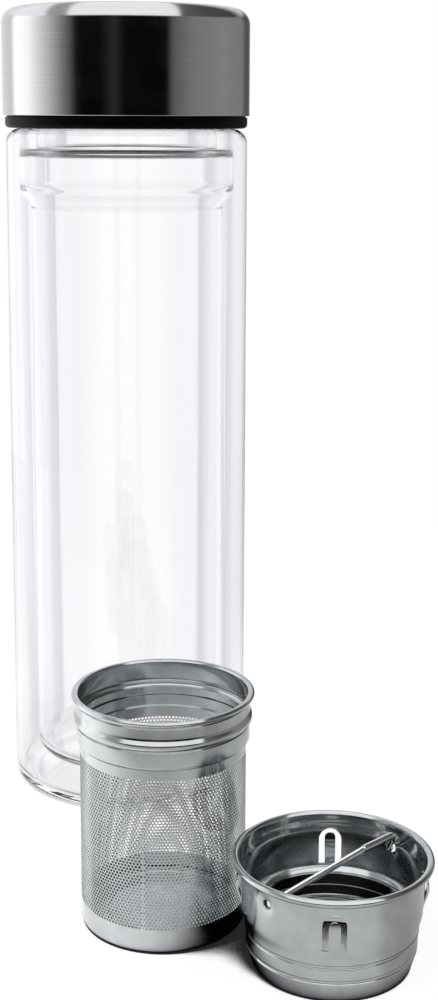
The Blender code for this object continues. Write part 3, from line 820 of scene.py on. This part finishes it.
def make_lid_gasket(silicone):
    """The sealing ring, with two fine lips on its lower face."""
    inner = NECK_BORE_RADIUS - GASKET_LAP
    outer = LINER_BORE_RADIUS - SEAT_GAP
    bottom = GASKET_LOW[2]
    top = GASKET_HIGH[2]
    lip = SEAT_GAP
    middle = (inner + outer) / 2
    loop = rounded([
        (inner, bottom + lip, lip),
        (middle - 2 * lip, bottom + lip, 0.0),
        (middle - lip, bottom, lip / 2),
        (middle, bottom + lip, 0.0),
        (middle + lip, bottom, lip / 2),
        (middle + 2 * lip, bottom + lip, 0.0),
        (outer, bottom + lip, lip),
        (outer, top, lip),
        (inner, top, lip),
    ])
    return fit(piece("lid_gasket_look", lathe(loop), silicone), "lid_seal", "silicone", "lid_gasket")


def skin_ring(verts, radius, z, count):
    """Add a ring of vertices and return their numbers."""
    first = len(verts)
    for k in range(count):
        angle = math.tau * k / count
        verts.append((radius * math.cos(angle), radius * math.sin(angle), z))
    return list(range(first, first + count))


def perforated_skin(verts, faces, radius):
    """One skin of the perforated band: brick-like cells, each round a six-sided hole."""
    count = 2 * HOLES_AROUND
    step = (HOLE_BAND_END - HOLE_BAND_START) / HOLE_ROWS
    lines = [skin_ring(verts, radius, HOLE_BAND_START + step * k, count) for k in range(HOLE_ROWS + 1)]
    holes = []
    for row in range(HOLE_ROWS):
        z = HOLE_BAND_START + step * (row + 0.5)
        low = lines[row]
        high = lines[row + 1]
        for k in range(HOLES_AROUND):
            centre = 2 * k + row % 2 + 1
            angle = math.tau * centre / count
            off_seam = abs(math.remainder(angle - SEAM_AZIMUTH, math.tau)) * BASKET_RADIUS
            at_seam = off_seam < step / 2
            size = HOLE_RADIUS * (SEAM_HOLE_SHARE if at_seam else 1.0)
            ring = []
            for corner in range(HOLE_SIDES):
                lean = math.pi * (corner / (HOLE_SIDES / 2) - 0.5)
                a = angle + size * math.cos(lean) / BASKET_RADIUS
                ring.append(len(verts))
                verts.append((radius * math.cos(a), radius * math.sin(a), z + size * math.sin(lean)))
            before = (centre - 1) % count
            here = centre % count
            after = (centre + 1) % count
            border = (low[here], low[after], high[after], high[here], high[before], low[before])
            for corner in range(HOLE_SIDES):
                nxt = (corner + 1) % HOLE_SIDES
                faces.append((border[corner], border[nxt], ring[nxt], ring[corner]))
            holes.append(ring)
    return lines[0], lines[-1], holes


def make_basket_tube(pressed):
    """The rolled tube with its fine perforation, its bottom edge turned in."""
    count = 2 * HOLES_AROUND
    bore = BASKET_RADIUS - TUBE_SHEET
    flange = BASKET_RADIUS - BASKET_FLANGE_WIDTH
    verts = []
    faces = []
    outer_low, outer_high, outer_holes = perforated_skin(verts, faces, BASKET_RADIUS)
    inner_low, inner_high, inner_holes = perforated_skin(verts, faces, bore)
    for outer, inner in zip(outer_holes, inner_holes):
        faces += tube_faces([outer, inner], capped=False)
    foot = rounded([
        (BASKET_RADIUS, HOLE_BAND_START, 0.0),
        (BASKET_RADIUS, 0.0, BASKET_CORNER_ROUND),
        (flange, 0.0, TUBE_SHEET / 2),
        (flange, TUBE_SHEET, 0.0),
        (bore, TUBE_SHEET, BASKET_CORNER_ROUND - TUBE_SHEET),
        (bore, HOLE_BAND_START, 0.0),
    ])
    rings = [outer_low]
    rings += [skin_ring(verts, point.x, point.y, count) for point in foot[1:-1]]
    rings.append(inner_low)
    faces += tube_faces(rings, capped=False)
    crease = BASKET_RADIUS - TUBE_CREASE_DEPTH
    inside = crease - TUBE_SHEET
    low = TUBE_CREASE - TUBE_CREASE_WIDTH / 2
    high = TUBE_CREASE + TUBE_CREASE_WIDTH / 2
    top = TUBE_HIGH[2]
    neck = [(BASKET_RADIUS, low), (crease, low), (crease, high), (BASKET_RADIUS, high)]
    neck += [(BASKET_RADIUS, top), (bore, top)]
    neck += [(bore, high + TUBE_SHEET), (inside, high), (inside, low), (bore, low - TUBE_SHEET)]
    rings = [outer_high] + [skin_ring(verts, radius, z, count) for radius, z in neck] + [inner_high]
    faces += tube_faces(rings, capped=False)
    item = piece("basket_tube_look", (verts, faces), pressed, BASKET_PLACE)
    return fit(item, "basket", "pressed_steel", "basket_tube")


def make_basket_floor(pressed):
    """The pressed disc on the tube's turned-in edge, with a raised middle."""
    rim = BASKET_RADIUS - SHEET - SEAT_GAP
    low = DISC_LOW[2]
    high = low + FLOOR_RISE
    crown = BASKET_RADIUS - BASKET_FLANGE_WIDTH - FLOOR_MARGIN
    top = rounded([
        (0.0, high, 0.0),
        (crown, high, FLOOR_RISE),
        (crown + FLOOR_RISE, low, FLOOR_RISE),
        (rim, low, BASKET_CORNER_ROUND - SHEET),
        (rim, DISC_HIGH[2], 0.0),
    ])
    loop = top + offset(top, -FLOOR_THICKNESS)[::-1]
    loop[-1].x = 0.0
    item = piece("basket_floor_look", lathe(loop), pressed, BASKET_PLACE)
    return fit(item, "basket", "pressed_steel", "basket_floor")


def rolled_rim(wall_radius, top, roll_radius, roll_height):
    """The bead of a rim rolled outwards, from the wall's inner side over to its outer side."""
    middle = wall_radius - SHEET + roll_radius
    landing = -math.acos(max(-1.0, (SHEET - roll_radius) / roll_radius))
    circle = arc((0.0, 0.0), 1.0, math.pi, landing)
    return [Vector((middle + p.x * roll_radius, top - roll_height + p.y * roll_height)) for p in circle]


def make_basket_sleeve(pressed):
    """The sleeve over the tube's top, with a snap bead and a rolled rim."""
    radius = BASKET_RADIUS + SEAT_GAP + SHEET
    top = SLEEVE_HIGH[2]
    bead = top - SLEEVE_BEAD_DROP
    half = SLEEVE_BEAD_HEIGHT / 2
    groove = bead - SLEEVE_BEAD_FOOT
    rim = rolled_rim(radius, top, BASKET_ROLL_RADIUS, BASKET_ROLL_HEIGHT)
    wall = rounded([
        (radius, rim[-1].y - SHEET / 2, 0.0),
        (radius, bead + half, half),
        (radius + SLEEVE_BEAD_BULGE, bead + half / 3, half / 2),
        (radius + SLEEVE_BEAD_BULGE, bead - half / 3, half / 2),
        (radius, groove, 0.0),
        (radius - SLEEVE_CREASE_DEPTH, groove, 0.0),
        (radius - SLEEVE_CREASE_DEPTH, groove - SLEEVE_CREASE_WIDTH, 0.0),
        (radius, groove - SLEEVE_CREASE_WIDTH, 0.0),
        (radius, SLEEVE_LOW[2], 0.0),
    ])
    inner = offset(wall, SHEET)
    hem = arc((radius - SHEET / 2, SLEEVE_LOW[2] + SHEET / 2), SHEET / 2, 0.0, -math.pi)
    outer = creased(wall, (SLEEVE_RIM_CREASE,), SLEEVE_CREASE_WIDTH, SLEEVE_CREASE_DEPTH)
    loop = rim + outer[:-1] + hem + inner[:-1][::-1]
    item = piece("basket_sleeve_look", lathe(loop), pressed, BASKET_PLACE)
    return fit(item, "basket", "pressed_steel", "basket_sleeve")


def wall_radius_at(z):
    """Outer radius of the collar's tapered wall at a height."""
    share = (COLLAR_FLARE_FOOT - z) / (COLLAR_FLARE_FOOT - COLLAR_CURVE_START)
    return COLLAR_RADIUS - COLLAR_TAPER * share


def collar_loop():
    """Closed profile of the collar's body, with rings enough in the wall to press dimples."""
    waist_top = PLUG_SHOULDER_HEIGHT + SEAT_GAP + COLLAR_WAIST_LENGTH
    rim = rolled_rim(COLLAR_MOUTH_RADIUS, BODY_HIGH[2], COLLAR_ROLL_RADIUS, COLLAR_ROLL_HEIGHT)
    wall = evenly(rounded([
        (COLLAR_MOUTH_RADIUS, rim[-1].y - SHEET / 2, 0.0),
        (COLLAR_RADIUS, COLLAR_FLARE_FOOT, COLLAR_FLARE_ROUND),
        (COLLAR_RADIUS - COLLAR_TAPER, COLLAR_CURVE_START, COLLAR_CURVE_ROUND),
        (COLLAR_WAIST_RADIUS, waist_top, COLLAR_CURVE_ROUND),
        (COLLAR_WAIST_RADIUS, BODY_LOW[2] - COLLAR_HEM_LAP, 0.0),
    ]), COLLAR_WALL_STEP)
    inner = [point for point in offset(wall, SHEET) if point.y > COLLAR_LEDGE_TOP[1]]
    ledge = (COLLAR_LEDGE_TOP, COLLAR_LEDGE_FOOT, (COLLAR_LEDGE_FOOT[0], BODY_LOW[2]))
    inner += [Vector(corner) for corner in ledge]
    return rim + creased(wall, (COLLAR_RIM_CREASE, COLLAR_HEM_CREASE)) + inner[::-1]


def slot_outline():
    """Outline (y, z) of the arched window that holds one tongue and its slot."""
    half = SLOT_OUTER_WIDTH / 2
    spring_line = SLOT_FOOT_HEIGHT + SLOT_HEIGHT - half
    arch = arc((0.0, spring_line), half, 0.0, math.pi)
    return [Vector((-half, SLOT_FOOT_HEIGHT)), Vector((half, SLOT_FOOT_HEIGHT))] + arch


def prism(outline, near, far, turn):
    """Vertices and faces of an outline in (y, z) run outwards in x and turned about Z."""
    verts = []
    for x in (near, far):
        for point in outline:
            verts.append((
                x * math.cos(turn) - point.x * math.sin(turn),
                x * math.sin(turn) + point.x * math.cos(turn),
                point.y,
            ))
    count = len(outline)
    return verts, tube_faces([list(range(count)), list(range(count, 2 * count))], capped=True)


def merged(shapes):
    """Several (vertices, faces) shapes as one."""
    verts = []
    faces = []
    for some_verts, some_faces in shapes:
        shift = len(verts)
        verts += some_verts
        faces += [[corner + shift for corner in face] for face in some_faces]
    return verts, faces


def tongue(turn):
    """One spring tongue, rooted below its window, bulging outwards and curved as the wall is."""
    width = SLOT_OUTER_WIDTH - 2 * SLOT_WIDTH
    tip = SLOT_FOOT_HEIGHT + SLOT_HEIGHT - SLOT_WIDTH
    root = SLOT_FOOT_HEIGHT - SHEET
    round_start = tip - width / 2
    verts = []
    rings = []
    for k in range(TONGUE_STATIONS + 1):
        share = math.sin(k / TONGUE_STATIONS * math.pi / 2)
        z = root + (tip - root) * share
        lift = TONGUE_BULGE * math.sin(share * math.pi * TONGUE_SWING) ** 2
        past = max(0.0, z - round_start)
        half = math.sqrt(max((width / 2) ** 2 - past ** 2, (width / TONGUE_TIP_PARTS) ** 2))
        outer = wall_radius_at(z) + lift - TONGUE_ROOT_INSET
        inner = wall_radius_at(z) + lift - SHEET + TONGUE_ROOT_INSET
        across = [half * (2 * c / TONGUE_COLUMNS - 1) for c in range(TONGUE_COLUMNS + 1)]
        section = [(inner, y) for y in across] + [(outer, y) for y in across[::-1]]
        rings.append(list(range(len(verts), len(verts) + len(section))))
        for r, y in section:
            angle = turn + y / COLLAR_RADIUS
            verts.append((r * math.cos(angle), r * math.sin(angle), z))
    return verts, tube_faces(rings, capped=True)


def press_dimples(shape):
    """Sink the wall a little round each pivot hole."""
    verts, faces = shape
    pressed = []
    for x, y, z in verts:
        radius = math.hypot(x, y)
        angle = math.atan2(y, x)
        for turn in (PIVOT_TURN, PIVOT_TURN + math.pi):
            side = math.remainder(angle - turn, math.tau) * COLLAR_RADIUS
            away = math.hypot(side, z - PIVOT_HEIGHT) / PIVOT_DIMPLE_RADIUS
            if away < 1.0:
                radius -= PIVOT_DIMPLE_DEPTH * (1.0 - away ** 2) ** 2
        pressed.append((radius * math.cos(angle), radius * math.sin(angle), z))
    return pressed, faces


def make_collar_body(pressed):
    """The collar's upper ring: rolled rim, four lanced tongues and two dimpled pivot holes."""
    ring = press_dimples(lathe(collar_loop()))
    item = piece("collar_body_look", ring, pressed, COLLAR_PLACE, COLLAR_TURN)
    near = COLLAR_WAIST_RADIUS - SLOT_OUTER_WIDTH
    far = COLLAR_RADIUS + SLOT_OUTER_WIDTH
    turns = [math.tau * k / TONGUE_COUNT for k in range(TONGUE_COUNT)]
    hole = WIRE_RADIUS + PIVOT_CLEARANCE
    bore = arc((0.0, PIVOT_HEIGHT), hole, 0.0, math.tau)[:-1]
    cutters = [prism(slot_outline(), near, far, turn) for turn in turns]
    cutters += [prism(bore, near, far, turn) for turn in (PIVOT_TURN, PIVOT_TURN + math.pi)]
    cutter = piece("collar_cutter", merged(cutters), pressed, COLLAR_PLACE, COLLAR_TURN)
    springs = merged([tongue(turn) for turn in turns])
    tongues = piece("collar_tongues", springs, pressed, COLLAR_PLACE, COLLAR_TURN)
    bake_booleans(item, [cutter], [tongues])
    return fit(item, "collar", "pressed_steel", "collar_body")


def make_collar_plug(pressed):
    """The lower ring that snaps into the basket's sleeve, with two beads and a turned-in foot."""
    throat = COLLAR_WAIST_RADIUS - SHEET - SEAT_GAP
    bead_foot = PLUG_SHOULDER_HEIGHT - PLUG_BEAD_HEIGHT
    groove_foot = bead_foot - PLUG_GROOVE_HEIGHT
    outer = rounded([
        (throat, PLUG_HIGH[2], 0.0),
        (throat, PLUG_SHOULDER_HEIGHT, SEAT_GAP),
        (PLUG_BEAD_RADIUS, PLUG_SHOULDER_HEIGHT - SHEET / 2, SHEET),
        (PLUG_BEAD_RADIUS, bead_foot, SHEET),
        (PLUG_GROOVE_RADIUS, bead_foot - PLUG_GROOVE_HEIGHT / 2, SHEET * 2),
        (PLUG_BEAD_RADIUS, groove_foot, SHEET),
        (PLUG_FOOT_RADIUS, 0.0, SHEET * 2),
        (PLUG_MOUTH_RADIUS, 0.0, 0.0),
    ])
    loop = outer + offset(outer, SHEET)[::-1]
    item = piece("collar_plug_look", lathe(loop), pressed, COLLAR_PLACE, COLLAR_TURN)
    return fit(item, "collar", "pressed_steel", "collar_plug")


def make_bail_wire(polished):
    """The wire bail, bent from wire that is thicker past its joint."""
    wall_inside = wall_radius_at(PIVOT_HEIGHT) - SHEET
    tip = wall_radius_at(PIVOT_HEIGHT) + BAIL_TIP_REACH
    leg = wall_inside - BAIL_WALL_SPACE
    path = evenly(rounded([
        (-tip, 0.0, 0.0),
        (-leg, 0.0, BAIL_FOOT_BEND),
        (BAIL_KNEE_REACH, BAIL_KNEE_RISE, BAIL_BEND),
        (leg, BAIL_RISE, BAIL_BEND),
        (leg, 0.0, BAIL_FOOT_BEND),
        (tip, 0.0, 0.0),
    ]), BAIL_STEP)
    frame_turn = Euler((BAIL_LEAN, 0.0, 0.0)).to_matrix()
    frame_turn = Matrix.Rotation(COLLAR_TURN + PIVOT_TURN, 3, "Z") @ frame_turn
    verts = []
    rings = []
    for index, point in enumerate(path):
        before = path[max(0, index - 1)]
        after = path[min(len(path) - 1, index + 1)]
        along = (after - before).normalized()
        side = Vector((-along.y, along.x))
        rings.append(list(range(len(verts), len(verts) + WIRE_SIDES)))
        thin = point.x < BAIL_KNEE_REACH or point.y < BAIL_KNEE_RISE / 2
        radius = WIRE_RADIUS if thin else WIRE_THICK_RADIUS
        for k in range(WIRE_SIDES):
            angle = math.tau * k / WIRE_SIDES
            flat = point + side * (radius * math.cos(angle))
            verts.append(tuple(frame_turn @ Vector((flat.x, radius * math.sin(angle), flat.y))))
    place = COLLAR_PLACE + Vector((0.0, 0.0, PIVOT_HEIGHT))
    item = piece("bail_wire_look", (verts, tube_faces(rings, capped=True)), polished, place)
    return fit(item, "bail", "pressed_steel", "bail_wire")


def azimuth_share(tree, x, y):
    """Azimuth from the camera's side towards +X as a share: 0 and 1 behind, 0.5 in front."""
    azimuth = calc(tree, "ARCTAN2", x, calc(tree, "MULTIPLY", y, -1.0))
    return share_between(tree, azimuth, -math.pi, math.pi)


def turn_stops(stops):
    """Ramp stops from azimuths in degrees."""
    return [((azimuth + 180) / 360, tone) for azimuth, tone in stops]


def side_stops(stops):
    """Ramp stops from angles between -90 and 90 degrees."""
    return [((angle + 90) / 180, tone) for angle, tone in stops]


def lean_stops(stops):
    """Ramp stops from positions between -1 and 1."""
    return [((lean + 1) / 2, tone) for lean, tone in stops]


def bend_stops(stops):
    """Ramp stops from angles between 0 and 90 degrees."""
    return [(angle / 90, tone) for angle, tone in stops]


def lit_and_glowing(tree, colour, lit_share, glow):
    """A matt surface in a share of a colour that also glows in that colour."""
    matt = add(tree, "BsdfDiffuse", {"Color": scaled_colour(tree, colour, lit_share)})
    steady = add(tree, "Emission", {"Color": colour, "Strength": glow})
    return add(tree, "AddShader", {0: matt.outputs[0], 1: steady.outputs[0]}).outputs[0]


def table_material():
    """White for the camera with painted contact shade; for metal, lit and glowing in painted reflection
    tones that painted shade darkens near the parts; clear for rays through glass.
    """
    material = bpy.data.materials.new("table_look")
    material.use_nodes = True
    tree = material.node_tree
    tree.nodes.remove(tree.nodes["Principled BSDF"])
    path = add(tree, "LightPath")
    place = parts_of(tree, object_coords(tree))
    x = calc(tree, "SUBTRACT", place[0], TONE_CENTRE[0])
    y = calc(tree, "SUBTRACT", place[1], TONE_CENTRE[1])
    turn = azimuth_share(tree, x, y)
    fade = share_between(tree, length_of(tree, x, y), *TONE_FADE)
    sky = add(tree, "AmbientOcclusion", {"Distance": SHADE_REACH}, samples=SHADE_SAMPLES).outputs["AO"]
    near = ramp(tree, turn, turn_stops(PAINTED_TABLE_TONES))
    far = ramp(tree, turn, turn_stops(CARDS))
    # Painted reflection and painted shade: for metal the table glows in set tones, darkened where little
    # sky is open near and between the parts
    tone = times(tree, mixed(tree, fade, near, far), ramp(tree, sky, MIRRORED_SHADE))
    painted_reflection = lit_and_glowing(tree, tone, MIRRORED_LIT_SHARE, 1.0 - MIRRORED_LIT_SHARE)
    # Painted shade: the camera's white table darkens where little sky is open, inside and beside the
    # parts
    white = lit_and_glowing(tree, ramp(tree, sky, SEEN_SHADE), SEEN_LIT_SHARE, SEEN_GLOW)
    clear = add(tree, "BsdfTransparent").outputs[0]
    seen = mixed_shader(tree, path.outputs["Is Camera Ray"], painted_reflection, white)
    seen = mixed_shader(tree, path.outputs["Is Transmission Ray"], seen, clear)
    tree.links.new(seen, tree.nodes["Material Output"].inputs["Surface"])
    return material


def make_table():
    """A wide, round, pale table."""
    turns = [math.tau * k / TABLE_SIDES for k in range(TABLE_SIDES)]
    rim = [(TABLE_RADIUS * math.cos(turn), TABLE_RADIUS * math.sin(turn), 0.0) for turn in turns]
    table = piece("table", (rim, [tuple(range(TABLE_SIDES))]), table_material())


def mirrored_tones(tree, x, y, z):
    """What metal mirrors in a direction: cards at eye level, and a ceiling above them."""
    side = calc(tree, "ARCTAN2", x, calc(tree, "SUBTRACT", 1.0, y))
    side = share_between(tree, side, -math.pi / 2, math.pi / 2)
    back = share_between(tree, y, CEILING_BACK_START, CEILING_BACK_END)
    ceiling = mixed(tree, back, ramp(tree, side, side_stops(CEILING)), opaque(CEILING_BACK))
    cards = ramp(tree, azimuth_share(tree, x, y), turn_stops(CARDS))
    rise = share_between(tree, z, CARD_TOP, CEILING_START)
    return mixed(tree, rise, cards, ceiling)


def backdrop_tones(tree, x, y, z):
    """What shows through glass, by how far a ray bends sideways and how it leans."""
    ahead = calc(tree, "ARCTAN2", x, y)
    bend = calc(tree, "PINGPONG", calc(tree, "SUBTRACT", ahead, BACKDROP_AHEAD), math.pi)
    bend = calc(tree, "MINIMUM", bend, calc(tree, "SUBTRACT", math.pi, bend))
    bend = share_between(tree, bend, 0.0, math.pi / 2)
    lean = share_between(tree, z, -1.0, 1.0)
    through = ramp(tree, bend, bend_stops(BACKDROP))
    return times(tree, through, ramp(tree, lean, lean_stops(BACKDROP_DEPTH)))


def make_world():
    """White for the camera, a backdrop through glass, studio cards for gloss, even light for the rest."""
    world = bpy.data.worlds.new("studio")
    bpy.context.scene.world = world
    world.use_nodes = True
    tree = world.node_tree
    x, y, z = parts_of(tree, add(tree, "TexCoord").outputs["Generated"])
    path = add(tree, "LightPath")
    light = mixed(tree, path.outputs["Is Glossy Ray"], opaque(ROOM_LIGHT), mirrored_tones(tree, x, y, z))
    light = mixed(tree, path.outputs["Is Transmission Ray"], light, backdrop_tones(tree, x, y, z))
    light = mixed(tree, path.outputs["Is Camera Ray"], light, opaque(1.0))
    tree.links.new(light, tree.nodes["Background"].inputs["Color"])


def make_lamps():
    """Two soft square lamps, left and right of the camera."""
    for name, size, distance, azimuth, elevation, power in LAMPS:
        light = bpy.data.lights.new(name, "AREA")
        light.size = size
        light.energy = power
        lamp = bpy.data.objects.new(name, light)
        flat = distance * math.cos(elevation)
        height = distance * math.sin(elevation)
        place = Vector((flat * math.sin(azimuth), -flat * math.cos(azimuth), height))
        lamp.location = place
        lamp.rotation_euler = place.to_track_quat("Z", "Y").to_euler()
        lamp.visible_glossy = False
        lamp.visible_transmission = False
        bpy.context.scene.collection.objects.link(lamp)


def make_camera():
    """The photograph's camera."""
    data = bpy.data.cameras.new("camera")
    data.sensor_width = CAMERA_SENSOR
    data.lens = CAMERA_LENS
    data.shift_x, data.shift_y = CAMERA_SHIFT
    camera = bpy.data.objects.new("camera", data)
    aim = Matrix.Rotation(-CAMERA_YAW, 4, "Z") @ Matrix.Rotation(math.pi / 2 - CAMERA_PITCH, 4, "X")
    camera.matrix_world = Matrix.Translation(CAMERA_PLACE) @ aim @ Matrix.Rotation(CAMERA_ROLL, 4, "Z")
    bpy.context.scene.collection.objects.link(camera)
    bpy.context.scene.camera = camera


glass = glass_material()
brushed = brushed_material()
pressed = pressed_material()
plastic = plastic_material()

make_outer_glass(glass)
make_inner_glass(glass)
make_neck_thread(glass)
make_lid_shell(brushed)
make_lid_liner(plastic)
make_lid_thread(plastic)
make_lid_gasket(silicone_material())
make_basket_tube(pressed)
make_basket_floor(pressed)
make_basket_sleeve(pressed)
make_collar_body(pressed)
make_collar_plug(pressed)
make_bail_wire(wire_material())

make_table()
make_world()
make_lamps()
make_camera()
scene = bpy.context.scene
scene.view_settings.view_transform = "Standard"
scene.cycles.max_bounces = GLASS_BOUNCES
scene.cycles.transmission_bounces = GLASS_BOUNCES
scene.cycles.glossy_bounces = METAL_BOUNCES
